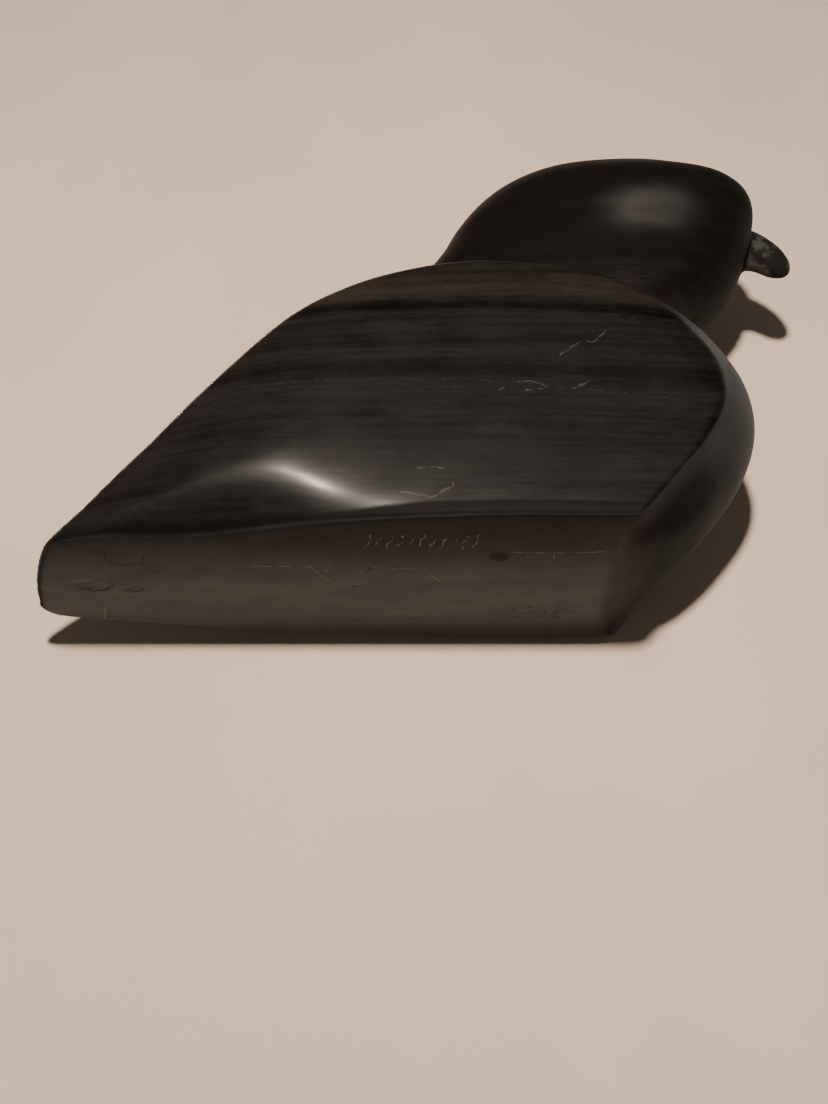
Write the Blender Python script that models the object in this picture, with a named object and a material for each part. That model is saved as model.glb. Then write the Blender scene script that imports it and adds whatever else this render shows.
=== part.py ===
"""A resting bird carved from one block of banded black stone.

The bird stands on its flat underside, beak towards +X, its left side towards +Y.
One solid: the body with its folded wings, the head and the beak are shaped as three
closed surfaces and joined by Boolean unions.
"""
import bpy
import bmesh
import numpy as np

# Driving dimensions, in metres
LENGTH = 0.2110
HEIGHT = 0.1330
WIDTH = 0.0720
TAIL_CORNER_RADIUS = 0.0045
TAIL_CUT_ANGLE = np.radians(12.2)
TAIL_BULGE = 0.0016
# How far the soft corner between breast and underside reaches each way
BREAST_CORNER_REACH = 0.014

# Density of the surfaces
OUTLINE_POINTS = 64
BASE_POINTS = 22
RIM_ROWS = 14
HEAD_ROWS = 26
HEAD_COLUMNS = 44
BEAK_ROWS = 10
BEAK_COLUMNS = 16

# Where the rings of a flank lie, as shares of the way from its centre to its edge
FLANK_RINGS = (0.25, 0.5, 0.68, 0.8, 0.88, 0.94, 0.975)

# The edge of the folded wing, from the tail over the back and down the breast to the
# underside: place along the length and up the height, and how far the stone between the
# two wings stands out past that edge, in percent of the length, the height and the height.
WING_EDGE = (
    (2.4, 0.8, 0.4),
    (13.6, 14.7, 2.2),
    (23.9, 32.8, 3.8),
    (35.3, 49.6, 5.0),
    (51.1, 58.2, 6.5),
    (62.6, 58.1, 8.5),
    (73.0, 54.2, 9.5),
    (82.0, 43.8, 10.6),
    (86.1, 31.6, 9.4),
    (83.2, 18.0, 6.2),
    (79.1, 9.2, 4.4),
    (74.8, 0.0, 0.0),
)
RIM_POWER = 2.2
TAIL_END = 2.8
FLANK_CENTRE = (52.0, 26.0)

# Half the width seen from above: place along the length and share of half the width
PLAN_WIDTH = ((2.2, 57.0), (15.6, 74.0), (29.9, 87.5), (50.2, 97.2), (60.2, 100.0), (72.5, 99.0), (86.3, 95.0))
# How far the flank swells out between its edges, how far its foot draws in under the body,
# and up to which height that reaches
FLANK_SWELL = (
    (2.2, 0.0), (12.0, 3.5), (20.0, 9.0), (27.0, 13.0), (31.0, 13.2), (35.0, 10.8), (39.5, 6.2), (43.0, 4.4),
    (47.0, 3.2), (52.0, 2.0), (60.0, 0.8), (68.0, 0.0),
)
FOOT_INSET = (
    (2.2, 0.0), (10.0, 4.0), (16.5, 14.0), (23.2, 18.0), (31.2, 12.4), (36.0, 7.6), (40.5, 4.6), (46.0, 2.2),
    (52.0, 0.8), (60.0, 0.4), (75.0, 0.3),
)
FOOT_HEIGHT = (
    (2.2, 1.0), (13.5, 3.6), (20.3, 7.5), (27.0, 12.5), (31.5, 14.0), (34.5, 12.5), (39.5, 8.5), (50.0, 5.0),
    (62.0, 4.0),
)
# The left flank draws in by this share of the right one's
FOOT_LEFT_SHARE = 0.12
FOOT_POWER = 2.0
# How far the flank leans in towards its upper edge, and how far down that starts
SHOULDER_INSET = 5.0
SHOULDER_DEPTH = 13.0
# The slant of the tail cut fades out at this place along the length
SLANT_END = 15.0

# The head from below to the crown: height, back, widest place, front, half width and
# how square the face is. The first rows are sunk in the body.
HEAD_LEVELS = (
    (40.0, 56.0, 70.0, 82.5, 58.0, 2.2),
    (52.6, 40.0, 70.0, 80.0, 56.0, 2.3),
    (58.6, 41.0, 73.0, 82.4, 58.5, 2.4),
    (64.7, 44.8, 77.0, 88.0, 61.5, 2.8),
    (70.7, 48.8, 79.5, 91.6, 67.0, 3.1),
    (76.7, 51.8, 81.5, 93.4, 75.0, 3.2),
    (82.7, 53.9, 82.0, 94.4, 81.5, 3.2),
    (88.0, 56.3, 80.0, 93.7, 76.0, 2.9),
    (92.5, 59.3, 77.5, 91.2, 62.5, 2.5),
    (96.2, 64.1, 77.5, 88.0, 46.0, 2.2),
    (98.9, 72.0, 78.0, 84.8, 24.0, 2.0),
    (100.0, 78.7, 79.1, 79.6, 0.0, 2.0),
)
NAPE_SQUARENESS = 2.2

# The hooked beak from its root to its tip: place, underside, ridge and half width
BEAK_SECTIONS = (
    (89.0, 77.0, 88.0, 15.0),
    (93.5, 76.8, 87.0, 14.5),
    (95.3, 76.2, 85.8, 13.5),
    (97.2, 74.5, 83.7, 12.0),
    (98.8, 74.2, 81.1, 9.5),
    (99.7, 74.9, 78.6, 6.0),
    (100.0, 76.6, 76.8, 0.0),
)

STONE_COLOUR = (0.035, 0.032, 0.030, 1.0)
STONE_ROUGHNESS = 0.28


def clear_scene():
    for item in list(bpy.data.objects):
        bpy.data.objects.remove(item, do_unlink=True)


def hermite(rows, knots, at):
    """Cubic through the rows at their knots, with each slope taken from the neighbouring rows."""
    rows = np.asarray(rows, float)
    slopes = np.gradient(rows, knots, axis=0)
    cell = np.clip(np.searchsorted(knots, at, side="right") - 1, 0, len(knots) - 2)
    step = (knots[cell + 1] - knots[cell])[..., None]
    t = (at - knots[cell])[..., None] / step
    start = (2 * t**3 - 3 * t**2 + 1) * rows[cell] + (t**3 - 2 * t**2 + t) * step * slopes[cell]
    end = (3 * t**2 - 2 * t**3) * rows[cell + 1] + (t**3 - t**2) * step * slopes[cell + 1]
    return start + end


def smooth_curve(rows, count):
    """Points evenly spaced along the cubic through the rows, whose first two columns are its plane."""
    rows = np.asarray(rows, float)
    chords = np.linalg.norm(np.diff(rows[:, :2], axis=0), axis=1)
    knots = np.concatenate([[0.0], np.cumsum(chords)])
    return hermite(rows, knots, np.linspace(0.0, knots[-1], count))


def smooth_value(pairs, at):
    """The smooth function through pairs of place and value, held at its ends."""
    pairs = np.asarray(pairs, float)
    inside = np.clip(at, pairs[0, 0], pairs[-1, 0])
    return hermite(pairs[:, 1:], pairs[:, 0], inside)[..., 0]


def ease(t):
    """Rises from 0 to 1 with level ends."""
    t = np.clip(t, 0.0, 1.0)
    return t * t * (3.0 - 2.0 * t)


def wing_outline():
    """The wing's edge and the underside's edge as one closed run of x, z and stand-out, in metres."""
    scale = np.array([LENGTH, HEIGHT, HEIGHT]) / 100.0
    edge = smooth_curve(np.array(WING_EDGE) * scale, OUTLINE_POINTS)
    front, tail = edge[-1, 0], TAIL_END * LENGTH / 100.0
    base = np.zeros((BASE_POINTS, 3))
    base[:, 0] = np.linspace(front, tail, BASE_POINTS + 1)[1:]
    return np.concatenate([edge, base])


def half_width(x, z, top, side):
    """Half the width of the stone at x and z under a wing edge at top; side runs from -1, right, to 1, left."""
    place = x / LENGTH * 100.0
    wide = smooth_value(PLAN_WIDTH, place)
    rise = np.clip(z / (smooth_value(FOOT_HEIGHT, place) * HEIGHT / 100.0), 0.0, 1.0)
    draw = 1.0 + (FOOT_LEFT_SHARE - 1.0) * ease((side + 1.0) / 2.0)
    foot = smooth_value(FOOT_INSET, place) * draw * (1.0 - rise) ** FOOT_POWER
    near_top = 1.0 - np.clip((top - z) / (SHOULDER_DEPTH * HEIGHT / 100.0), 0.0, 1.0)
    lean = SHOULDER_INSET * near_top**2 * ease((place - TAIL_END) / (SLANT_END * 2.0))
    share = np.clip(z / top, 0.0, 1.0)
    swell = smooth_value(FLANK_SWELL, place) * 6.75 * share * (1.0 - share) ** 2
    width = (wide + swell - foot - lean) * WIDTH / 200.0
    from_end = np.clip(x - TAIL_END * LENGTH / 100.0, 0.0, TAIL_CORNER_RADIUS)
    corner = TAIL_CORNER_RADIUS - np.sqrt(TAIL_CORNER_RADIUS**2 - (TAIL_CORNER_RADIUS - from_end) ** 2)
    return width - corner


def upper_edge(x, outline):
    """Height of the wing's upper edge above each x."""
    crest = int(np.argmax(outline[:OUTLINE_POINTS, 1]))
    rising = outline[: crest + 1]
    falling = outline[crest : int(np.argmax(outline[:OUTLINE_POINTS, 0])) + 1]
    joined = np.concatenate([rising, falling[1:]])
    return np.interp(x, joined[:, 0], joined[:, 1])


def slant_tail(points):
    """Shifts the tail forwards on the right and back on the left, and bulges it, fading out towards the body."""
    start = SLANT_END * LENGTH / 100.0
    share = ease((start - points[..., 0]) / (start - TAIL_END * LENGTH / 100.0))
    across = np.clip(points[..., 1] / (PLAN_WIDTH[0][1] * WIDTH / 200.0), -1.0, 1.0)
    points[..., 0] -= (points[..., 1] * np.tan(TAIL_CUT_ANGLE) + TAIL_BULGE * (1.0 - across**2)) * share
    return points


def soften_breast_corner(rim, s):
    """Bends the corner of breast and underside into a quadratic curve, by 1 - s^4 of its full reach."""
    corner = OUTLINE_POINTS - 1
    steps = np.linalg.norm(np.diff(rim[:, ::2], axis=0), axis=1)
    along = np.concatenate([[0.0], np.cumsum(steps)])
    along -= along[corner]
    reach = BREAST_CORNER_REACH * (1.0 - s**4)
    near = np.abs(along) < reach
    t = ((along[near] + reach) / (2.0 * reach))[:, None]
    start, end = (np.array([np.interp(place, along, rim[:, axis]) for axis in range(3)]) for place in (-reach, reach))
    rim[near] = (1.0 - t) ** 2 * start + 2.0 * t * (1.0 - t) * rim[corner] + t**2 * end
    return rim


def body_surface():
    """Rows from the right flank's centre to its edge, over the rim between the wings, to the left centre.

    A flank point is the centre plus a share of the way to the edge, at half_width across.
    A rim point is the edge plus its outward normal times stand-out times (1 - |s|^2.2), at s half widths.
    """
    outline = wing_outline()
    edge = outline[:, :2]
    centre = np.array(FLANK_CENTRE) * (LENGTH, HEIGHT) / 100.0
    forward = np.roll(edge, -1, axis=0) - edge
    backward = edge - np.roll(edge, 1, axis=0)
    forward /= np.linalg.norm(forward, axis=1)[:, None]
    backward /= np.linalg.norm(backward, axis=1)[:, None]
    tangent = forward + backward
    tangent /= np.linalg.norm(tangent, axis=1)[:, None]
    normal = np.stack([-tangent[:, 1], tangent[:, 0]], axis=1)

    def flank(share, side):
        at = centre + share * (edge - centre)
        wide = half_width(at[:, 0], at[:, 1], upper_edge(at[:, 0], outline), side)
        return np.stack([at[:, 0], side * wide, at[:, 1]], axis=1)

    def rim(s):
        out = (outline[:, 2] * (1.0 - abs(s) ** RIM_POWER))[:, None]
        at = edge + normal * out
        wide = half_width(edge[:, 0], edge[:, 1], upper_edge(edge[:, 0], outline), s)
        return soften_breast_corner(np.stack([at[:, 0], s * wide, np.maximum(at[:, 1], 0.0)], axis=1), s)

    right = [flank(share, -1.0) for share in FLANK_RINGS]
    across = [rim(s) for s in -np.cos(np.linspace(0.0, np.pi, RIM_ROWS + 1))]
    left = [flank(share, 1.0) for share in FLANK_RINGS[::-1]]
    rows = np.array(right + across + left)
    middle = half_width(centre[0:1], centre[1:2], upper_edge(centre[0:1], outline), 0.0)[0]
    poles = np.array([[centre[0], -middle, centre[1]], [centre[0], middle, centre[1]]])
    return slant_tail(rows), poles


def head_surface():
    """Level rows: x and y follow a superellipse round the widest place, squarer at the face."""
    scale = np.array([HEIGHT, LENGTH, LENGTH, LENGTH, WIDTH / 2.0, 100.0]) / 100.0
    levels = smooth_curve(np.array(HEAD_LEVELS) * scale, HEAD_ROWS)
    z, back, widest, front, wide, square = (levels[:, i, None] for i in range(6))
    turn = np.linspace(0.0, 2.0 * np.pi, HEAD_COLUMNS, endpoint=False)[None, :]
    ahead = np.cos(turn) >= 0.0
    power = 2.0 / np.where(ahead, square, NAPE_SQUARENESS)
    reach = np.where(ahead, front - widest, widest - back)
    x = widest + reach * np.sign(np.cos(turn)) * np.abs(np.cos(turn)) ** power
    y = wide * np.sign(np.sin(turn)) * np.abs(np.sin(turn)) ** power
    rows = np.stack([x, y, np.broadcast_to(z, x.shape)], axis=2)[:-1]
    poles = np.array([[widest[0, 0], 0.0, z[0, 0]], [widest[-1, 0], 0.0, z[-1, 0]]])
    return rows, poles


def beak_surface():
    """Upright oval sections from the root inside the head to the hooked tip."""
    scale = np.array([LENGTH, HEIGHT, HEIGHT, WIDTH / 2.0]) / 100.0
    sections = smooth_curve(np.array(BEAK_SECTIONS) * scale, BEAK_ROWS)
    x, low, high, wide = (sections[:, i, None] for i in range(4))
    turn = np.linspace(0.0, 2.0 * np.pi, BEAK_COLUMNS, endpoint=False)[None, :]
    y = wide * np.cos(turn)
    z = (low + high) / 2.0 + (high - low) / 2.0 * np.sin(turn)
    rows = np.stack([np.broadcast_to(x, y.shape), y, z], axis=2)[:-1]
    middle = (low + high) / 2.0
    poles = np.array([[x[0, 0], 0.0, middle[0, 0]], [x[-1, 0], 0.0, middle[-1, 0]]])
    return rows, poles


def closed_surface(name, rows, poles, shift):
    """A mesh object from rows of points that each close on themselves, with a pole at either end."""
    row_count, column_count = rows.shape[:2]
    mesh = bmesh.new()
    points = rows.reshape(-1, 3) - (shift, 0.0, 0.0)
    corners = [mesh.verts.new(point) for point in points]
    first = mesh.verts.new(poles[0] - (shift, 0.0, 0.0))
    last = mesh.verts.new(poles[1] - (shift, 0.0, 0.0))
    for column in range(column_count):
        beside = (column + 1) % column_count
        mesh.faces.new((first, corners[beside], corners[column]))
        for row in range(row_count - 1):
            here, above = row * column_count, (row + 1) * column_count
            quad = (here + column, here + beside, above + beside, above + column)
            mesh.faces.new([corners[index] for index in quad])
        top = (row_count - 1) * column_count
        mesh.faces.new((corners[top + column], corners[top + beside], last))
    bmesh.ops.remove_doubles(mesh, verts=mesh.verts, dist=0.00002)
    bmesh.ops.triangulate(mesh, faces=mesh.faces)
    bmesh.ops.recalc_face_normals(mesh, faces=mesh.faces)
    data = bpy.data.meshes.new(name)
    mesh.to_mesh(data)
    mesh.free()
    shape = bpy.data.objects.new(name, data)
    bpy.context.collection.objects.link(shape)
    return shape


def stone_material():
    material = bpy.data.materials.new("banded_black_stone")
    material.use_nodes = True
    shader = material.node_tree.nodes["Principled BSDF"]
    shader.inputs["Base Color"].default_value = STONE_COLOUR
    shader.inputs["Roughness"].default_value = STONE_ROUGHNESS
    shader.inputs["Metallic"].default_value = 0.0
    return material


def join_into(body, other):
    """Unites another closed surface with the body and hides it."""
    union = body.modifiers.new("join_" + other.name, "BOOLEAN")
    union.operation = "UNION"
    union.solver = "EXACT"
    union.object = other
    other.hide_render = True
    other.display_type = "WIRE"


def build_bird():
    clear_scene()
    body_rows, body_poles = body_surface()
    head_rows, head_poles = head_surface()
    beak_rows, beak_poles = beak_surface()
    shift = (body_rows[..., 0].min() + beak_poles[1, 0]) / 2.0
    body = closed_surface("stone_bird", body_rows, body_poles, shift)
    head = closed_surface("head_form", head_rows, head_poles, shift)
    beak = closed_surface("beak_form", beak_rows, beak_poles, shift)
    join_into(body, head)
    join_into(body, beak)
    body.data.materials.append(stone_material())
    body.data.shade_smooth()


build_bird()
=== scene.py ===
"""A resting bird carved from banded black stone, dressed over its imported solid.

The stone is one piece. Its body, head and beak are surfaces worked out from a few named
shares of the bird's own length, height and width, joined, evened out and worn a little.
"""

import math

import bmesh
import bpy
import numpy as np
from mathutils import Matrix, Vector


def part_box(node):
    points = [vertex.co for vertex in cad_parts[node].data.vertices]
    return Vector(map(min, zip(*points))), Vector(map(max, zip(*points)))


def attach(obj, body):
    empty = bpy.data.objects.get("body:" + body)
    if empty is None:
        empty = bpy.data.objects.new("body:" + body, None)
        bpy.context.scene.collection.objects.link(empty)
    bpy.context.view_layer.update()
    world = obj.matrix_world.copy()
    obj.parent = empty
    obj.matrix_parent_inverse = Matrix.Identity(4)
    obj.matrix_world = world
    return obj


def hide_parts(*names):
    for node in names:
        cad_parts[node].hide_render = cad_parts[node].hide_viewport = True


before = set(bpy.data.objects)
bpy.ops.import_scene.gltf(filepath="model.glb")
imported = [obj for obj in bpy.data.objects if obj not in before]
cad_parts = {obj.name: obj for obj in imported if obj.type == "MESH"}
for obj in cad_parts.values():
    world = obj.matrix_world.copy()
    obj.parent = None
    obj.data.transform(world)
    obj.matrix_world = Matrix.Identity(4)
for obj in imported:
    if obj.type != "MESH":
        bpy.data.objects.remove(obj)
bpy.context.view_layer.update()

NODE = "stone_bird"
LOW, HIGH = (np.array(corner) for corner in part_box(NODE))
LENGTH, WIDTH, HEIGHT = HIGH - LOW
MM = 0.001

# How fine the surfaces are, how often their edges are evened out, and the grain of the finished mesh
OUTLINE_POINTS = 320
BASE_POINTS = 130
FLANK_ROWS = 46
RIM_ROWS = 84
HEAD_ROWS = 110
HEAD_COLUMNS = 180
BEAK_ROWS = 44
BEAK_COLUMNS = 60
EDGE_PASSES_ACROSS = 12
EDGE_PASSES_ALONG = 3
GRAIN = 0.9 * MM
RUB_SHARE = 0.5
RUB_PASSES = 4
MERGE_DISTANCE = 0.01 * MM

# The folded wing's edge from the tail over the back and down the breast: place along the
# length, height, and how far the stone between the wings stands out past it, in percent
WING_EDGE = (
    (2.4, 0.8, 0.4),
    (13.6, 14.7, 2.2),
    (23.9, 32.8, 3.8),
    (35.3, 49.6, 5.0),
    (51.1, 58.2, 6.5),
    (62.6, 58.1, 8.5),
    (73.0, 54.2, 9.5),
    (82.0, 43.8, 10.6),
    (86.1, 31.6, 9.4),
    (83.2, 18.0, 6.2),
    (79.1, 9.2, 4.4),
    (74.8, 0.0, 0.0),
)
RIM_POWER = 2.2
TAIL_END = 2.8
FLANK_CENTRE = (52.0, 26.0)
TAIL_CORNER_RADIUS = 4.5 * MM
TAIL_CUT_ANGLE = math.radians(12.2)
TAIL_BULGE = 1.6 * MM
SLANT_END = 15.0
BREAST_CORNER_REACH = 14.0 * MM

# Half the width from above, the flank's swell between its edges, how far and how high up its foot draws in,
# and the left foot's share of that
PLAN_WIDTH = (
    (2.2, 57.0), (15.6, 74.0), (29.9, 87.5), (50.2, 97.2), (60.2, 100.0), (72.5, 99.0), (86.3, 95.0),
)
FLANK_SWELL = (
    (2.2, 0.0), (12.0, 3.5), (20.0, 9.0), (27.0, 13.0), (31.0, 13.2), (35.0, 10.8), (39.5, 6.2), (43.0, 4.4),
    (47.0, 3.2), (52.0, 2.0), (60.0, 0.8), (68.0, 0.0),
)
FOOT_INSET = (
    (2.2, 0.0), (10.0, 4.0), (16.5, 14.0), (23.2, 18.0), (31.2, 12.4), (36.0, 7.6), (40.5, 4.6), (46.0, 2.2),
    (52.0, 0.8), (60.0, 0.4), (75.0, 0.3),
)
FOOT_HEIGHT = (
    (2.2, 1.0), (13.5, 3.6), (20.3, 7.5), (27.0, 12.5), (31.5, 14.0), (34.5, 12.5), (39.5, 8.5), (50.0, 5.0),
    (62.0, 4.0),
)
FOOT_LEFT_SHARE = 0.12
# Makes the greatest value of share times (1 - share) squared 1
SWELL_SCALE = 6.75
FOOT_POWER = 2.0
SHOULDER_INSET = 5.0
SHOULDER_DEPTH = 13.0

# The head from below to the crown: height, back, widest place, front, half width, squareness
HEAD_LEVELS = (
    (40.0, 56.0, 70.0, 82.5, 58.0, 2.2),
    (52.6, 40.0, 70.0, 80.0, 56.0, 2.3),
    (58.6, 41.0, 73.0, 82.4, 58.5, 2.4),
    (64.7, 44.8, 77.0, 88.0, 61.5, 2.8),
    (70.7, 48.8, 79.5, 91.6, 67.0, 3.1),
    (76.7, 51.8, 81.5, 93.4, 75.0, 3.2),
    (82.7, 53.9, 82.0, 94.4, 81.5, 3.2),
    (88.0, 56.3, 80.0, 93.7, 76.0, 2.9),
    (92.5, 59.3, 77.5, 91.2, 62.5, 2.5),
    (96.2, 64.1, 77.5, 88.0, 46.0, 2.2),
    (98.9, 72.0, 78.0, 84.8, 24.0, 2.0),
    (100.0, 78.7, 79.1, 79.6, 0.0, 2.0),
)
NAPE_SQUARENESS = 2.2

# The hooked beak from root to tip: place, underside, ridge and half width
BEAK_SECTIONS = (
    (89.0, 77.0, 88.0, 15.0),
    (93.5, 76.8, 87.0, 14.5),
    (95.3, 76.2, 85.8, 13.5),
    (97.2, 74.5, 83.7, 12.0),
    (98.8, 74.2, 81.1, 9.5),
    (99.7, 74.9, 78.6, 6.0),
    (100.0, 76.6, 76.8, 0.0),
)


# Flaked chips in the underside near the tail: place, half length and half width in mm, turn, depth in mm
CHIPS = (
    (-89.3, 2.8, 6.6, 3.4, 0.1, 0.55),
    (-77.9, 4.7, 3.4, 1.5, -0.25, 0.35),
    (-92.5, -20.0, 3.0, 1.4, 0.3, 0.5),
)
CHIP_CEILING = 1.5 * MM
WAVE_DEPTH = 0.05 * MM
WAVE_FADE = 8.0 * MM


def hermite(rows, knots, at):
    """Cubic through the rows at their knots, each slope taken from the neighbouring rows."""
    slopes = np.gradient(rows, knots, axis=0)
    cell = np.clip(np.searchsorted(knots, at, side="right") - 1, 0, len(knots) - 2)
    step = (knots[cell + 1] - knots[cell])[..., None]
    t = (at - knots[cell])[..., None] / step
    start = (2 * t**3 - 3 * t**2 + 1) * rows[cell] + (t**3 - 2 * t**2 + t) * step * slopes[cell]
    end = (3 * t**2 - 2 * t**3) * rows[cell + 1] + (t**3 - t**2) * step * slopes[cell + 1]
    return start + end


def smooth_curve(rows, count):
    """Points evenly spaced along the cubic through the rows, whose first two columns are its plane."""
    chords = np.linalg.norm(np.diff(rows[:, :2], axis=0), axis=1)
    knots = np.concatenate([[0.0], np.cumsum(chords)])
    return hermite(rows, knots, np.linspace(0.0, knots[-1], count))


def smooth_value(pairs, at):
    """The smooth function through pairs of place and value, held at its ends."""
    pairs = np.asarray(pairs, float)
    return hermite(pairs[:, 1:], pairs[:, 0], np.clip(at, pairs[0, 0], pairs[-1, 0]))[..., 0]


def ease(t):
    """Rises from 0 to 1 with level ends: t squared times (3 - 2 t)."""
    t = np.clip(t, 0.0, 1.0)
    return t * t * (3.0 - 2.0 * t)


def wing_outline():
    """The wing's edge and the underside's edge as one closed run of x, z and stand-out, in shares."""
    edge = smooth_curve(np.array(WING_EDGE) * (LENGTH, HEIGHT, HEIGHT) / 100.0, OUTLINE_POINTS)
    base = np.zeros((BASE_POINTS, 3))
    base[:, 0] = np.linspace(edge[-1, 0], TAIL_END * LENGTH / 100.0, BASE_POINTS + 1)[1:]
    return np.concatenate([edge, base])


def half_width(x, z, top, side):
    """Half the plan width, less the foot's draw-in near the base and the lean near the wing's top."""
    place = x / LENGTH * 100.0
    rise = np.clip(z / (smooth_value(FOOT_HEIGHT, place) * HEIGHT / 100.0), 0.0, 1.0)
    draw = 1.0 + (FOOT_LEFT_SHARE - 1.0) * ease((side + 1.0) / 2.0)
    foot = smooth_value(FOOT_INSET, place) * draw * (1.0 - rise) ** FOOT_POWER
    near_top = 1.0 - np.clip((top - z) / (SHOULDER_DEPTH * HEIGHT / 100.0), 0.0, 1.0)
    lean = SHOULDER_INSET * near_top**2 * ease((place - TAIL_END) / (SLANT_END * 2.0))
    share = np.clip(z / top, 0.0, 1.0)
    swell = smooth_value(FLANK_SWELL, place) * SWELL_SCALE * share * (1.0 - share) ** 2
    width = (smooth_value(PLAN_WIDTH, place) + swell - foot - lean) * WIDTH / 200.0
    from_end = np.clip(x - TAIL_END * LENGTH / 100.0, 0.0, TAIL_CORNER_RADIUS)
    corner = TAIL_CORNER_RADIUS - np.sqrt(TAIL_CORNER_RADIUS**2 - (TAIL_CORNER_RADIUS - from_end) ** 2)
    return width - corner


def upper_edge(x, outline):
    """Height of the wing's upper edge above each x."""
    edge = outline[:OUTLINE_POINTS]
    forward = edge[: int(np.argmax(edge[:, 0])) + 1]
    return np.interp(x, forward[:, 0], forward[:, 1])


def slant_tail(points):
    """Shifts the tail forwards on the right and back on the left, and bulges it, fading towards the body."""
    start = SLANT_END * LENGTH / 100.0
    share = ease((start - points[..., 0]) / (start - TAIL_END * LENGTH / 100.0))
    across = np.clip(points[..., 1] / (PLAN_WIDTH[0][1] * WIDTH / 200.0), -1.0, 1.0)
    points[..., 0] -= (points[..., 1] * math.tan(TAIL_CUT_ANGLE) + TAIL_BULGE * (1.0 - across**2)) * share
    return points


def soften_breast_corner(rim, s):
    """Bends the corner of breast and underside into a quadratic curve, by 1 - s^4 of its full reach."""
    corner = OUTLINE_POINTS - 1
    steps = np.linalg.norm(np.diff(rim[:, ::2], axis=0), axis=1)
    along = np.concatenate([[0.0], np.cumsum(steps)])
    along -= along[corner]
    reach = BREAST_CORNER_REACH * (1.0 - s**4)
    near = np.abs(along) < reach
    t = ((along[near] + reach) / (2.0 * reach))[:, None]
    start, end = (
        np.array([np.interp(place, along, rim[:, axis]) for axis in range(3)])
        for place in (-reach, reach)
    )
    rim[near] = (1.0 - t) ** 2 * start + 2.0 * t * (1.0 - t) * rim[corner] + t**2 * end
    return rim


def even_edges(rows):
    """Rounds the edges: each point moves towards its neighbours' mean, across the rows, then along."""
    for turn in range(EDGE_PASSES_ACROSS):
        rows[1:-1] = (rows[:-2] + 2.0 * rows[1:-1] + rows[2:]) / 4.0
    for turn in range(EDGE_PASSES_ALONG):
        rows = (np.roll(rows, 1, axis=1) + 2.0 * rows + np.roll(rows, -1, axis=1)) / 4.0
    return rows


def unit(rows):
    """Each row as a direction of length 1."""
    return rows / np.linalg.norm(rows, axis=1)[:, None]


def body_surface():
    """Rows from the right flank's centre to its edge, over the rim between the wings, to the left centre.

    A flank point is the centre plus a share of the way to the edge, at half_width across.
    A rim point is the edge plus its outward normal times stand-out times (1 - |s|^2.2), at s half widths.
    Both kinds of row lie closer together near the edges: shares 1 - 0.9 k^1.7, and s = t (1.35 - 0.35 t^2).
    """
    outline = wing_outline()
    edge = outline[:, :2]
    centre = np.array(FLANK_CENTRE) * (LENGTH, HEIGHT) / 100.0
    forward = np.roll(edge, -1, axis=0) - edge
    backward = np.roll(forward, 1, axis=0)
    tangent = unit(unit(forward) + unit(backward))
    normal = np.stack([-tangent[:, 1], tangent[:, 0]], axis=1)

    share = (1.0 - 0.9 * np.linspace(1.0, 0.0, FLANK_ROWS) ** 1.7)[:, None, None]
    at = centre + share * (edge - centre)
    top = upper_edge(at[..., 0], outline)
    flanks = []
    for side in (-1.0, 1.0):
        across = side * half_width(at[..., 0], at[..., 1], top, side)
        flanks.append(np.stack([at[..., 0], across, at[..., 1]], axis=2))
    t = np.linspace(-1.0, 1.0, RIM_ROWS + 1)
    s = (t * (1.35 - 0.35 * t**2))[:, None]
    out = outline[:, 2] * (1.0 - np.abs(s) ** RIM_POWER)
    wide = half_width(edge[:, 0], edge[:, 1], upper_edge(edge[:, 0], outline), s)
    rim_x = edge[:, 0] + normal[:, 0] * out
    rim_z = np.maximum(edge[:, 1] + normal[:, 1] * out, 0.0)
    rim = np.stack([rim_x, s * wide, rim_z], axis=2)
    rim = np.stack([soften_breast_corner(row, float(place)) for row, place in zip(rim, s[:, 0])])
    rows = np.concatenate([flanks[0][:-1], rim, flanks[1][-2::-1]])
    return even_edges(slant_tail(rows))


def head_surface():
    """Level rows: x and y follow a superellipse round the widest place, squarer at the face."""
    scale = np.array([HEIGHT, LENGTH, LENGTH, LENGTH, WIDTH / 2.0, 100.0]) / 100.0
    levels = smooth_curve(np.array(HEAD_LEVELS) * scale, HEAD_ROWS)
    z, back, widest, front, wide, square = (levels[:, i, None] for i in range(6))
    turn = np.linspace(0.0, 2.0 * math.pi, HEAD_COLUMNS, endpoint=False)[None, :]
    along, across = np.cos(turn), np.sin(turn)
    power = 2.0 / np.where(along >= 0.0, square, NAPE_SQUARENESS)
    reach = np.where(along >= 0.0, front - widest, widest - back)
    x = widest + reach * np.sign(along) * np.abs(along) ** power
    y = wide * np.sign(across) * np.abs(across) ** power
    return np.stack([x, y, np.broadcast_to(z, x.shape)], axis=2)[:-1]


def beak_surface():
    """Upright oval sections from the root inside the head to the hooked tip."""
    scale = np.array([LENGTH, HEIGHT, HEIGHT, WIDTH / 2.0]) / 100.0
    sections = smooth_curve(np.array(BEAK_SECTIONS) * scale, BEAK_ROWS)
    x, low, high, wide = (sections[:, i, None] for i in range(4))
    turn = np.linspace(0.0, 2.0 * math.pi, BEAK_COLUMNS, endpoint=False)[None, :]
    y = wide * np.cos(turn)
    z = (low + high) / 2.0 + (high - low) / 2.0 * np.sin(turn)
    return np.stack([np.broadcast_to(x, y.shape), y, z], axis=2)[:-1]


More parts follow.
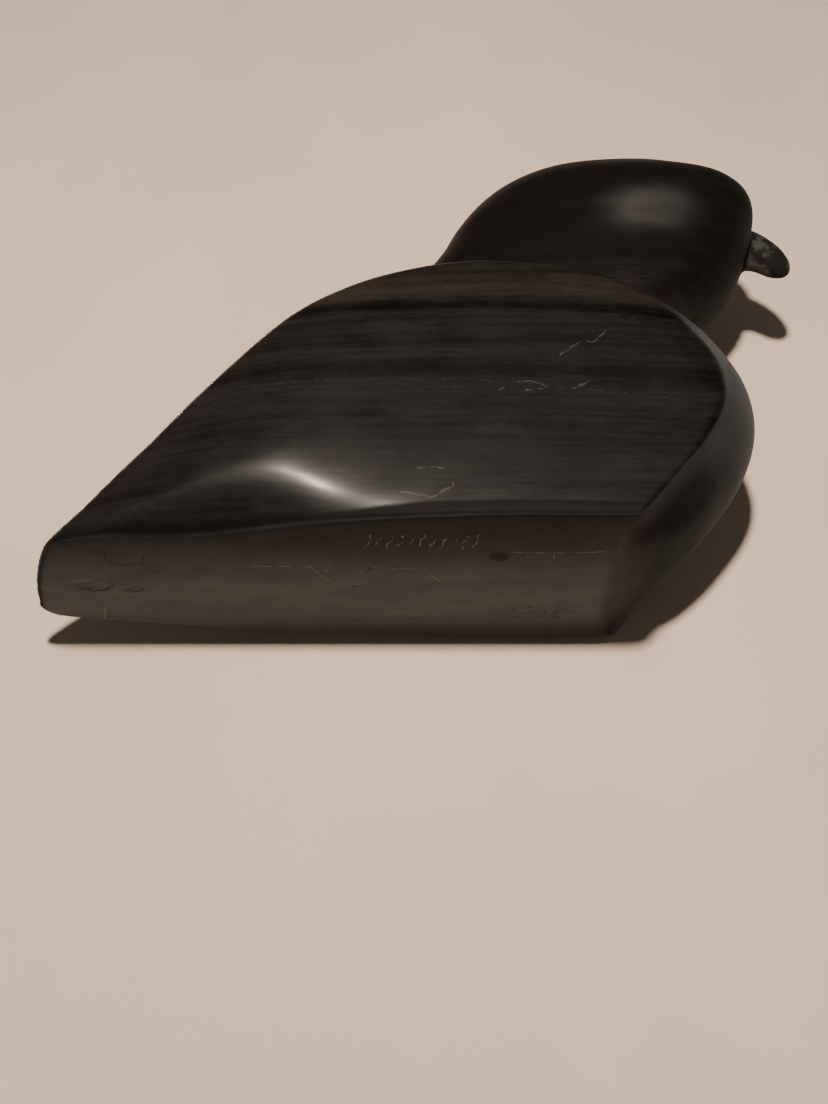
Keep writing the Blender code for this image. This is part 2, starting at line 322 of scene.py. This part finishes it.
def closed_surface(name, rows):
    """A mesh from rows of points that each close on themselves, with a pole at the mean of each end row."""
    count, columns = rows.shape[:2]
    points = np.concatenate([rows.reshape(-1, 3), rows[:1].mean(axis=1), rows[-1:].mean(axis=1)])
    row = np.arange(count - 1)[:, None] * columns
    here = np.arange(columns)[None, :]
    beside = (here + 1) % columns
    above = row + columns
    quads = np.stack([row + here, row + beside, above + beside, above + here], axis=2).reshape(-1, 4)
    first, last, top = count * columns, count * columns + 1, (count - 1) * columns
    fans = [(first, int(b), int(a)) for a, b in zip(here[0], beside[0])]
    fans += [(top + int(a), top + int(b), last) for a, b in zip(here[0], beside[0])]
    mesh = bpy.data.meshes.new(name)
    mesh.from_pydata(points.tolist(), [], quads.tolist() + fans)
    mesh.update()
    shape = bpy.data.objects.new(name, mesh)
    bpy.context.scene.collection.objects.link(shape)
    return shape


def tidy_shell(shape):
    """Merges doubled points and turns every face outwards."""
    work = bmesh.new()
    work.from_mesh(shape.data)
    bmesh.ops.remove_doubles(work, verts=work.verts, dist=MERGE_DISTANCE)
    bmesh.ops.recalc_face_normals(work, faces=work.faces)
    work.to_mesh(shape.data)
    work.free()


def apply_modifiers(shape):
    """Replaces the object's mesh by what its modifiers make of it."""
    graph = bpy.context.evaluated_depsgraph_get()
    made = bpy.data.meshes.new_from_object(shape.evaluated_get(graph))
    old = shape.data
    shape.modifiers.clear()
    shape.data = made
    bpy.data.meshes.remove(old)


def read_points(mesh):
    points = np.empty(len(mesh.vertices) * 3, np.float32)
    mesh.vertices.foreach_get("co", points)
    return points.reshape(-1, 3).astype(float)


def write_points(mesh, points):
    mesh.vertices.foreach_set("co", points.astype(np.float32).ravel())
    mesh.update()


def chip_depth(points):
    """How deep the flaked chips in the underside are: a shallow bowl, 1 - r^2, over each oval."""
    depth = np.zeros(len(points))
    for x, y, long, short, turn, deepest in CHIPS:
        ahead, aside = points[:, 0] - x * MM, points[:, 1] - y * MM
        along = ahead * math.cos(turn) + aside * math.sin(turn)
        across = aside * math.cos(turn) - ahead * math.sin(turn)
        reach = (along / (long * MM)) ** 2 + (across / (short * MM)) ** 2
        depth = np.maximum(depth, deepest * MM * np.clip(1.0 - reach, 0.0, 1.0))
    return depth * (points[:, 2] < CHIP_CEILING)


def hand_waviness(points):
    """The uneven swell that hand polishing leaves: crossed sine waves a few centimetres long."""
    x, y, z = (points / MM).T
    broad = np.sin(x / 6.1 + z / 9.7) * np.sin(z / 5.3 - x / 14.0 + y / 8.0)
    fine = 0.6 * np.sin(x / 3.4 - z / 4.1 + y / 5.0)
    return WAVE_DEPTH * (broad + fine) * ease(points[:, 2] / WAVE_FADE)


def carve_bird():
    """Body, head and beak joined into one stone, then remeshed to even quads, rubbed smooth and worn."""
    body = closed_surface("carved_bird", body_surface())
    parts = [closed_surface("head_form", head_surface()), closed_surface("beak_form", beak_surface())]
    for shape in [body] + parts:
        tidy_shell(shape)
    for part in parts:
        union = body.modifiers.new("join_" + part.name, "BOOLEAN")
        union.operation = "UNION"
        union.solver = "EXACT"
        union.object = part
    remesh = body.modifiers.new("even_grain", "REMESH")
    remesh.mode = "VOXEL"
    remesh.voxel_size = GRAIN
    apply_modifiers(body)
    for part in parts:
        bpy.data.objects.remove(part)
    rub = body.modifiers.new("rub_smooth", "SMOOTH")
    rub.factor = RUB_SHARE
    rub.iterations = RUB_PASSES
    apply_modifiers(body)
    points = read_points(body.data)
    normals = np.empty(len(points) * 3, np.float32)
    body.data.vertices.foreach_get("normal", normals)
    points += normals.reshape(-1, 3) * hand_waviness(points)[:, None]
    low, high = points.min(axis=0), points.max(axis=0)
    points = (points - low) / (high - low) * (HIGH - LOW) + LOW
    points[:, 2] += chip_depth(points)
    write_points(body.data, points)
    body.data.shade_smooth()
    return body


class Socket:
    """A shader value on which Python's operators add Math nodes."""

    def __init__(self, graph, link):
        self.graph = graph
        self.link = link

    def _math(self, operation, *values):
        return self.graph.node("Math", {"operation": operation}, dict(enumerate(values)))

    def __add__(self, other):
        return self._math("ADD", self, other)

    def __radd__(self, other):
        return self._math("ADD", other, self)

    def __sub__(self, other):
        return self._math("SUBTRACT", self, other)

    def __rsub__(self, other):
        return self._math("SUBTRACT", other, self)

    def __mul__(self, other):
        return self._math("MULTIPLY", self, other)

    def __rmul__(self, other):
        return self._math("MULTIPLY", other, self)

    def __truediv__(self, other):
        return self._math("DIVIDE", self, other)

    def size(self):
        return self._math("ABSOLUTE", self)

    def least(self, other):
        return self._math("MINIMUM", self, other)

    def most(self, other):
        return self._math("MAXIMUM", self, other)


class Graph:
    """One material's nodes. node() makes any node from its type, its settings and its inputs."""

    def __init__(self, name):
        self.material = bpy.data.materials.new(name)
        self.material.use_nodes = True
        self.tree = self.material.node_tree
        self.shader = self.tree.nodes["Principled BSDF"]
        self.output = self.tree.nodes["Material Output"]

    def node(self, kind, settings=None, inputs=None, output=0):
        made = self.tree.nodes.new("ShaderNode" + kind)
        for key, value in (settings or {}).items():
            setattr(made, key, value)
        for key, value in (inputs or {}).items():
            self.feed(made.inputs[key], value)
        return Socket(self, made.outputs[output])

    def feed(self, socket, value):
        if isinstance(value, Socket):
            self.tree.links.new(value.link, socket)
        else:
            socket.default_value = value

    def split(self, vector):
        parts = self.tree.nodes.new("ShaderNodeSeparateXYZ")
        self.feed(parts.inputs[0], vector)
        return [Socket(self, parts.outputs[i]) for i in range(3)]

    def join(self, x, y, z=0.0):
        return self.node("CombineXYZ", {}, {0: x, 1: y, 2: z})

    def vector(self, operation, first, second=None, output=0):
        inputs = {0: first} if second is None else {0: first, 1: second}
        return self.node("VectorMath", {"operation": operation}, inputs, output)

    def stretch(self, vector, scale):
        return self.node("Mapping", {"vector_type": "POINT"}, {"Vector": vector, "Scale": scale})

    def noise(self, vector, scale, detail, roughness, output=0):
        inputs = {"Vector": vector, "Scale": scale, "Detail": detail, "Roughness": roughness}
        return self.node("TexNoise", {}, inputs, output)

    def drawn_out(self, vector, pattern):
        """Noise drawn out along the axes: its repeats per metre on each, its octaves and its roughness."""
        repeats, detail, roughness = pattern
        return self.noise(self.stretch(vector, repeats), 1.0, detail, roughness)

    def step(self, value, low, high, to_low=0.0, to_high=1.0):
        inputs = {"Value": value, "From Min": low, "From Max": high, "To Min": to_low, "To Max": to_high}
        return self.node("MapRange", {"interpolation_type": "SMOOTHSTEP"}, inputs)

    def clamp(self, value):
        return self.node("Clamp", {}, {"Value": value})

    def gap(self, plane, centre, reach):
        """How far the plane's point is from a centre in mm, in shares of the reach along each axis."""
        away = self.vector("SUBTRACT", plane, (*centre, 0.0))
        shares = (1.0 / reach[0], 1.0 / reach[1], 0.0)
        return self.vector("LENGTH", self.vector("MULTIPLY", away, shares), output="Value")

    def profile(self, value, stops):
        """A smooth function of value through pairs of place and height, as a grey ramp."""
        made = self.tree.nodes.new("ShaderNodeValToRGB")
        ramp = made.color_ramp
        ramp.interpolation = "B_SPLINE"
        low, high = stops[0][0], stops[-1][0]
        while len(ramp.elements) < len(stops):
            ramp.elements.new(0.5)
        for element, (at, height) in zip(ramp.elements, stops):
            element.position = (at - low) / (high - low)
            element.color = (height, height, height, 1.0)
        share = self.node("MapRange", {}, {"Value": value, "From Min": low, "From Max": high})
        self.feed(made.inputs[0], share)
        return Socket(self, made.outputs[0])

    def blend(self, share, first, second):
        made = self.tree.nodes.new("ShaderNodeMix")
        made.data_type = "RGBA"
        self.feed(made.inputs[0], share)
        self.feed(made.inputs[6], first)
        self.feed(made.inputs[7], second)
        return Socket(self, made.outputs[2])

    def strokes(self, plane, runs, width):
        """1 on polylines in the plane, in mm, and 0 past their width: the nearest distance, eased."""
        nearest = None
        for run in runs:
            for (ax, ay), (bx, by) in zip(run, run[1:]):
                span = (bx - ax, by - ay, 0.0)
                away = self.vector("SUBTRACT", plane, (ax, ay, 0.0))
                share = self.vector("DOT_PRODUCT", away, span, "Value") / (span[0] ** 2 + span[1] ** 2)
                share = self.clamp(share)
                foot = self.vector("MULTIPLY", span, self.join(share, share))
                gap = self.vector("LENGTH", self.vector("SUBTRACT", away, foot), output="Value")
                nearest = gap if nearest is None else nearest.least(gap)
        return self.step(nearest, width, width * 0.3)

    def set(self, name, value):
        self.feed(self.shader.inputs[name], value)


# The bands of the flank: height in mm and how light the stone is there
BANDS = (
    (0.0, 0.50), (6.0, 0.46), (9.0, 0.30), (11.5, 0.66), (14.0, 0.46), (18.0, 0.58), (22.0, 0.36),
    (29.0, 0.34), (33.0, 0.46), (38.0, 0.62), (41.0, 0.12), (43.5, 0.04), (46.5, 0.72), (49.0, 0.52),
    (51.0, 0.22), (54.5, 0.60), (58.0, 0.46), (60.4, 0.56), (62.0, 0.0), (63.2, 0.0), (65.5, 0.80),
    (68.0, 0.95), (72.0, 0.78), (76.0, 0.50), (84.0, 0.32), (100.0, 0.20), (110.0, 0.12), (133.0, 0.10),
)
BAND_LEAN = 0.028
BAND_WANDER = 1.6

# Pale veins and scratches of the right flank, as runs of length and height in mm
PALE_VEINS = (
    ((32.9, 45.9), (38.2, 50.6), (41.9, 50.9), (45.6, 53.7)),
    ((17.8, 35.9), (20.2, 37.7), (25.3, 38.6), (31.2, 35.6), (24.1, 35.3)),
    ((36.0, 35.9), (40.2, 38.0)),
    ((-2.9, 13.8), (2.0, 13.2), (5.7, 10.6), (5.6, 7.5), (-0.3, 5.0), (-6.4, 6.4)),
)
PALE_HAIRLINES = (
    ((-48.1, 38.6), (-16.1, 39.5), (10.8, 39.2), (50.9, 34.4), (70.2, 32.8)),
    ((37.1, 59.7), (48.2, 59.1), (67.1, 58.3)),
    ((-32.9, 49.0), (-32.4, 49.1)),
    ((-24.6, 45.6), (-24.0, 45.6)),
    ((46.5, 11.8), (46.8, 11.9)),
    ((30.7, 21.0), (31.1, 21.0)),
)
# Marks of the underside, as runs of length and width in mm
PALE_SCRATCHES = (
    ((-31.1, -9.1), (-27.4, -1.2), (-22.6, 2.8)),
    ((-25.4, -10.2), (-27.0, -4.7)),
    ((-14.7, -7.5), (-1.9, -6.9), (3.2, 0.5)),
    ((48.6, 7.5), (50.5, 3.0)),
    ((49.5, 9.5), (57.5, 11.0)),
    ((-49.4, -8.0), (-31.4, -8.0)),
    ((21.4, -15.7), (50.2, -15.7)),
    ((31.0, -15.4), (31.9, -12.8)),
    ((-87.3, 16.0), (-88.5, 23.4)),
)
DARK_CRACKS = (
    ((-21.8, 4.0), (-15.2, 1.6)),
    ((-16.3, -4.7), (-14.7, -7.5), (-8.0, -7.6)),
    ((-86.0, -19.4), (-83.5, -16.2), (-82.4, -15.7), (-82.6, -12.4), (-78.6, -9.1), (-73.8, -10.2),
     (-72.6, -14.6)),
    ((-95.6, 2.2), (-90.3, 2.2), (-86.1, -0.7), (-83.1, 1.6), (-85.0, 5.1), (-88.9, 6.3), (-91.7, 4.0)),
    ((-80.3, 5.7), (-76.8, 3.4), (-75.1, 4.0), (-76.7, 6.3), (-80.3, 5.7)),
)
# Half widths of those lines in mm
VEIN_WIDTH = 0.36
HAIRLINE_WIDTH = 0.2
SCRATCH_WIDTH = 0.34
CRACK_WIDTH = 0.42

# The row of plain slanting strokes on the underside, in mm: its reach along and across, and its pitch
MARK_ROW = (-16.7, 12.9)
MARK_SIDE = (-23.9, -18.6)
MARK_PITCH = 2.7
MARK_SLANT = 0.35
MARK_UNEVEN = 10.0

# A brown spot, a bruised patch with pits and a dark smudge on the breast: centre and reach in mm
SPOT = ((17.7, -13.5), (3.448, 2.778))
PITTED = ((29.0, 19.0), (11.76, 5.88))
SMUDGE = ((-21.0, 12.0), (10.0, 11.76))
# Where the cheek is polished best, as length and height
CHEEK = ((61.0, 102.0), (13.0, 6.8))

# Colours of the stone
DARKEST = (0.0008, 0.0007, 0.0006, 1.0)
BANDED = (0.0232, 0.0224, 0.0208, 1.0)
BROWN_BAND = (0.0335, 0.0286, 0.0222, 1.0)
HEAD_DARK = (0.0016, 0.0012, 0.0008, 1.0)
HEAD_LIGHT = (0.0100, 0.0080, 0.0054, 1.0)
SATIN_LIGHT = (0.1240, 0.1400, 0.1520, 1.0)
SPOT_BROWN = (0.0030, 0.0018, 0.0010, 1.0)
BEAK_GREY = (0.0560, 0.0560, 0.0480, 1.0)
PALE_SCRATCH = (0.2000, 0.1850, 0.1600, 1.0)
# How light the underside is across its width in mm, from the right edge to the left, and the breast. Towards
# the left edge, beside the cloth, the low values are painted shade: the bird's own shadow on the cloth,
# reflected in the rounded edge. Towards the right edge they are the stone's own darker tone
UNDER_TONES = (
    (-36.0, 0.03), (-30.0, 0.08), (-22.0, 0.22), (-10.0, 0.62), (2.0, 0.96), (18.0, 0.98), (25.0, 0.56),
    (30.0, 0.08), (36.0, 0.01),
)
BREAST_TONE = 0.25

# How glossy the stone is: specular level, coat on flank and head, roughness of the coat and of the stone
STONE_GLOSS = 0.17
FLANK_POLISH = 0.75
HEAD_POLISH = 0.05
COAT_ROUGHNESS = 0.15
POLISHED_ROUGHNESS = 0.42
SATIN_ROUGHER = 0.28
HEAD_ROUGHER = 0.46
RELIEF_STRENGTH = 0.22
RELIEF_DEPTH = 0.35 * MM

# Noise drawn out along the axes: repeats per metre on each, octaves and roughness
STREAKS = ((17.0, 26.0, 520.0), 6.0, 0.66)
FINE_GRAIN = ((240.0, 240.0, 1300.0), 3.0, 0.6)
CLOUDS = ((60.0, 60.0, 110.0), 5.0, 0.62)
SMEARS = ((20.0, 95.0, 95.0), 5.0, 0.62)
PITS = ((420.0, 900.0, 600.0), 2.0, 0.5)
MM_PER_METRE = (1000.0, 1000.0, 1000.0)


def polished_colour(g, place, x, z, streaks, clouds):
    """Level bands on the flank, browner under the shoulder, a dark brown head and a blotched grey beak."""
    level = z + x * BAND_LEAN + (g.noise(place, 26.0, 3.0, 0.5) - 0.5) * BAND_WANDER
    grain = g.drawn_out(place, FINE_GRAIN)
    lightness = g.profile(level, BANDS) * 0.62
    lightness = lightness + (streaks - 0.5) * 0.95 + (clouds - 0.5) * 0.55 + (grain - 0.5) * 0.45
    lightness = g.clamp(lightness + g.step(x, 10.0, -45.0, -0.04, 0.14) * g.step(z, 12.0, 26.0))
    colour = g.blend(lightness, DARKEST, BANDED)
    brown = g.blend(lightness, DARKEST, BROWN_BAND)
    colour = g.blend(g.step(level, 58.0, 68.0) * g.step(level, 84.0, 74.0), colour, brown)
    colour = g.blend(g.step(z, 80.0, 92.0), colour, g.blend(lightness, HEAD_DARK, HEAD_LIGHT))
    blotches = g.step(g.noise(place, 210.0, 3.0, 0.6), 0.46, 0.62)
    beak = g.blend(blotches * 0.75 + 0.15, DARKEST, BEAK_GREY)
    return g.blend(g.step(x, 91.5, 93.5), colour, beak)


def satin_colour(g, place, y, facing_z, mottle):
    """The rubbed stone of underside and breast: smeared grey, darker towards the underside's edges; at the
    left edge, beside the cloth, that darkening is painted shade.
    """
    smear = g.drawn_out(place, SMEARS)
    grey = g.clamp((smear - 0.5) * 1.5 + (mottle - 0.5) * 0.7 + 0.5)
    low = g.step(facing_z, -0.88, -0.995)
    tone = g.profile(y, UNDER_TONES) * low + (1.0 - low) * BREAST_TONE
    return g.blend((grey * 0.6 + 0.4) * tone, DARKEST, SATIN_LIGHT)


def mark_row(g, place, x, y):
    """Slanting strokes at an even pitch between the row's ends, their heights a little uneven."""
    height = y + (g.noise(place, 260.0, 1.0, 0.5) - 0.5) * MARK_UNEVEN
    right_end, left_end = MARK_SIDE
    across = g.step(height, right_end, right_end + 0.8) * g.step(height, left_end, left_end - 0.8)
    back_end, front_end = MARK_ROW
    along = g.step(x, back_end, back_end + 0.5) * g.step(x, front_end, front_end - 0.5)
    turn = g.node("Math", {"operation": "FRACT"}, {0: (x + height * MARK_SLANT) / MARK_PITCH + 20.0})
    return g.step((turn - 0.5).size() * MARK_PITCH, SCRATCH_WIDTH, 0.08) * across * along


def stone_finish():
    """Dark polished stone in level bands, rough and greyer below and in front, with veins and scratches."""
    g = Graph("banded_black_stone")
    place = g.node("TexCoord", output="Object")
    x, y, z = g.split(g.stretch(place, MM_PER_METRE))
    facing_x, facing_y, facing_z = g.split(g.node("NewGeometry", output="Normal"))
    side = g.step(facing_y.size(), 0.55, 0.80)
    right = g.step(facing_y, -0.50, -0.75)
    under = g.step(facing_z, -0.40, -0.80) * g.step(z, 1.4, 0.6)
    breast = g.step(facing_x, 0.15, 0.45) * g.step(z, 74.0, 60.0)
    satin = under.most(breast) * (1.0 - side)
    streaks = g.drawn_out(place, STREAKS)
    clouds = g.drawn_out(place, CLOUDS)
    mottle = g.noise(place, 130.0, 4.0, 0.6)

    # Lines wander by a ripple and break up
    ripple = g.vector("SUBTRACT", g.noise(place, 230.0, 2.0, 0.5, "Color"), (0.5, 0.5, 0.5))
    ripple = g.vector("MULTIPLY", ripple, (1.6, 1.6, 1.6))
    flank_plane = g.vector("ADD", g.join(x, z), g.vector("MULTIPLY", ripple, (1.7, 1.7, 1.7)))
    under_plane = g.vector("ADD", g.join(x, y), ripple)
    broken = g.step(g.noise(place, 420.0, 2.0, 0.6), 0.30, 0.52)
    veins = g.strokes(flank_plane, PALE_VEINS, VEIN_WIDTH) * broken * right * 0.22
    hairlines = g.strokes(flank_plane, PALE_HAIRLINES, HAIRLINE_WIDTH) * g.step(broken, 0.0, 1.0, 0.2, 1.0)
    pale = veins.most(hairlines * right * 0.1)
    scratched = g.strokes(under_plane, PALE_SCRATCHES, SCRATCH_WIDTH) * broken
    row = mark_row(g, place, x, y) * g.step(broken, 0.2, 1.0, 0.15, 1.0)
    scratched = scratched.most(row) * under * 0.8
    cracks = g.strokes(under_plane, DARK_CRACKS, CRACK_WIDTH) * under * g.step(broken, 0.0, 1.0, 0.25, 0.7)

    spot = g.step(g.gap(under_plane, *SPOT) + (mottle - 0.5) * 1.4, 1.15, 0.55) * under
    smudge = g.step(g.gap(g.join(y, z), *SMUDGE) + (clouds - 0.5) * 1.2, 1.3, 0.5) * satin
    pits = g.step(g.drawn_out(place, PITS), 0.56, 0.66)
    pits = pits * g.step(g.gap(g.join(x, y), *PITTED), 1.1, 0.6) * under

    # The line along the foot, fading out towards the breast: rubbed dull, and painted dark as shade,
    # standing in for the dark room reflected in the rounded edge
    foot = z + (clouds - 0.5) * 1.2 - g.step(x, -22.0, 2.0) * 1.6
    foot_line_dull_and_painted_dark = g.step(foot, 3.0, 1.8) * g.step(facing_x, 0.30, 0.05) * (1.0 - under)
    rubbed = satin.most(foot_line_dull_and_painted_dark)

    polished = polished_colour(g, place, x, z, streaks, clouds)
    colour = g.blend(satin * (1.0 - foot_line_dull_and_painted_dark), polished, satin_colour(g, place, y, facing_z, mottle))
    # Painted shade: the foot line's colour is blended towards the darkest stone
    colour = g.blend(foot_line_dull_and_painted_dark * 0.6, colour, DARKEST)
    colour = g.blend(spot * 0.95, colour, SPOT_BROWN)
    colour = g.blend(cracks.most(smudge * 0.88).most(pits * 0.7), colour, DARKEST)
    g.set("Base Color", g.blend(pale.most(scratched), colour, PALE_SCRATCH))
    g.set("Specular IOR Level", STONE_GLOSS)

    cheek_gap = g.gap(g.join(x, z), *CHEEK) + (clouds - 0.5) * 0.8
    dull = g.step(z, 70.0, 90.0) * g.step(cheek_gap, 0.4, 1.5, 0.04, HEAD_ROUGHER)
    edge = g.step(facing_z, -0.995, -0.94) * g.step(facing_z, -0.45, -0.75) * 0.25
    roughness = rubbed * SATIN_ROUGHER + dull.most(edge) + (clouds - 0.5) * 0.10 + POLISHED_ROUGHNESS
    g.set("Roughness", roughness)
    gloss = g.step(z, 50.0, 75.0, FLANK_POLISH, HEAD_POLISH)
    gloss = gloss * g.step(facing_x, 0.30, 0.07) * g.step(facing_z, -0.75, -0.50)
    g.set("Coat Weight", (1.0 - rubbed) * gloss)
    g.set("Coat Roughness", COAT_ROUGHNESS)
    relief = streaks * 0.3 + satin * mottle * 1.5 - cracks * 1.5 - scratched * 0.9 - pits * 1.2
    inputs = {"Height": relief, "Strength": RELIEF_STRENGTH, "Distance": RELIEF_DEPTH}
    g.set("Normal", g.node("Bump", {}, inputs))
    return g.material


def stage_finish(name, colour, worn):
    """Pale cloth, darker in broad patches of painted fold shade, with a few dark specks of dust, seen only
    from its front.
    """
    g = Graph(name)
    place = g.node("TexCoord", output="Object")
    painted_fold_shade = g.noise(place, 9.0, 3.0, 0.6)
    specks = g.step(g.noise(place, 210.0, 2.0, 0.5), 0.765, 0.80) * 0.45
    # The second colour paints both the broad patches of fold shade and the small dust specks
    g.set("Base Color", g.blend((g.step(painted_fold_shade, 0.3, 0.7) * 0.5).most(specks), colour, worn))
    g.set("Roughness", 0.95)
    back = g.node("NewGeometry", output="Backfacing")
    clear = g.node("BsdfTransparent")
    mixed = g.node("MixShader", {}, {0: back, 1: Socket(g, g.shader.outputs[0]), 2: clear})
    g.tree.links.new(mixed.link, g.output.inputs["Surface"])
    return g.material


def stage_plane(name, centre, along, up, material):
    """A square sheet through centre, spanned by two directions; it faces along their cross product."""
    centre, along, up = Vector(centre), Vector(along) * STAGE_HALF, Vector(up) * STAGE_HALF
    corners = [centre - along - up, centre + along - up, centre + along + up, centre - along + up]
    mesh = bpy.data.meshes.new(name)
    mesh.from_pydata([tuple(corner) for corner in corners], [], [(0, 1, 2, 3)])
    mesh.materials.append(material)
    sheet = bpy.data.objects.new(name, mesh)
    bpy.context.scene.collection.objects.link(sheet)
    return sheet


def area_light(name, place, aim, size, watts, colour):
    data = bpy.data.lights.new(name, "AREA")
    data.shape = "DISK"
    data.size = size
    data.energy = watts
    data.color = colour
    lamp = bpy.data.objects.new(name, data)
    lamp.location = place
    lamp.rotation_euler = (Vector(aim) - Vector(place)).to_track_quat("-Z", "Y").to_euler()
    bpy.context.scene.collection.objects.link(lamp)
    return lamp


# The stage's colours, its half size, and the gaps between the bird and its sheets
CLOTH = (0.82, 0.66, 0.54, 1.0)
# The cloth's darker colour: painted fold shade, and its dust specks
CLOTH_FOLD_SHADE_AND_SPECKS = (0.66, 0.54, 0.44, 1.0)
SHELF = (0.66, 0.60, 0.55, 1.0)
STAGE_HALF = 4.0
CLOTH_GAP = 2.5 * MM
SHELF_GAP = 0.4 * MM

# The warm lamp: how far left of the lens, how far out and how high. Two soft lamps light the other sides.
LAMP_LEFT = 0.026
LAMP_OUT = -0.66
LAMP_HEIGHT = 0.012
LAMP_SIZE = 0.04
LAMP_WATTS = 7.0
LAMP_WARM = (1.0, 0.86, 0.72)
SOFT_LAMPS = (("soft_left", (-0.5, 0.9, 0.7)), ("soft_front", (0.9, 0.5, 0.6)))
SOFT_AIM = (0, 0, 0.05)
SOFT_SIZE = 1.5
SOFT_WATTS = 5.0
SOFT_WHITE = (1.0, 0.95, 0.9)
ROOM_COLOUR = (0.90, 0.80, 0.70, 1.0)
ROOM_LIGHT = 0.09
BACKDROP = (0.80, 0.74, 0.68, 1.0)

# The photograph's camera: focal length and frame height in pixels, place of the lens, and pitch.
# The beak's tip is the frame's furthest point and was seen 109 mm right of the lens.
FOCAL_PIXELS = 1660.0
FRAME_PIXELS = 1104.0
SENSOR_MM = 36.0
LENS_X = HIGH[0] - 109.0 * MM
LENS_PLACE = (LENS_X, -0.3867, -0.1970)
PITCH = math.radians(62.0)

bird = carve_bird()
bird.data.materials.clear()
bird.data.materials.append(stone_finish())
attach(bird, "root")
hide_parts(NODE)

# The photographed pose: the bird lies on its left side, so the cloth is upright beside it
cloth = stage_finish("pale_cloth", CLOTH, CLOTH_FOLD_SHADE_AND_SPECKS)
wall = stage_plane("table_cloth", (0, HIGH[1] + CLOTH_GAP, 0), (1, 0, 0), (0, 0, 1), cloth)
wall.visible_shadow = False
shelf = stage_finish("pale_shelf", SHELF, SHELF)
floor = stage_plane("shelf_top", (0, 0, -SHELF_GAP), (1, 0, 0), (0, 1, 0), shelf)
floor.visible_shadow = False
floor.visible_diffuse = False
floor.visible_glossy = False

camera_data = bpy.data.cameras.new("view")
camera_data.sensor_fit = "AUTO"
camera_data.sensor_width = SENSOR_MM
camera_data.lens = FOCAL_PIXELS / FRAME_PIXELS * SENSOR_MM
camera_data.clip_start = 0.01
camera_data.clip_end = 20.0
camera = bpy.data.objects.new("view", camera_data)
right = Vector((1, 0, 0))
forward = Vector((0, math.sin(PITCH), math.cos(PITCH)))
upward = right.cross(forward)
turned = Matrix((right, upward, -forward)).transposed().to_4x4()
camera.matrix_world = Matrix.Translation(LENS_PLACE) @ turned
bpy.context.scene.collection.objects.link(camera)
bpy.context.scene.camera = camera

# The one small warm lamp of the photograph, and soft light for the sides that it doesn't reach
lamp_x = LENS_X - LAMP_LEFT
lamp_place = (lamp_x, LAMP_OUT, LAMP_HEIGHT)
area_light("room_lamp", lamp_place, (lamp_x, 0, LAMP_HEIGHT), LAMP_SIZE, LAMP_WATTS, LAMP_WARM)
for name, spot in SOFT_LAMPS:
    lamp = area_light(name, spot, SOFT_AIM, SOFT_SIZE, SOFT_WATTS, SOFT_WHITE)
    lamp.data.cycles.use_multiple_importance_sampling = False

# Camera rays that meet no sheet see a plain backdrop, and the room lights the bird more dimly
world = bpy.data.worlds.new("room")
world.use_nodes = True
nodes, links = world.node_tree.nodes, world.node_tree.links
dim = nodes["Background"]
dim.inputs["Color"].default_value = ROOM_COLOUR
dim.inputs["Strength"].default_value = ROOM_LIGHT
backdrop = nodes.new("ShaderNodeBackground")
backdrop.inputs["Color"].default_value = BACKDROP
chosen = nodes.new("ShaderNodeMixShader")
path = nodes.new("ShaderNodeLightPath")
links.new(path.outputs["Is Camera Ray"], chosen.inputs[0])
links.new(dim.outputs[0], chosen.inputs[1])
links.new(backdrop.outputs[0], chosen.inputs[2])
links.new(chosen.outputs[0], nodes["World Output"].inputs["Surface"])
bpy.context.scene.world = world
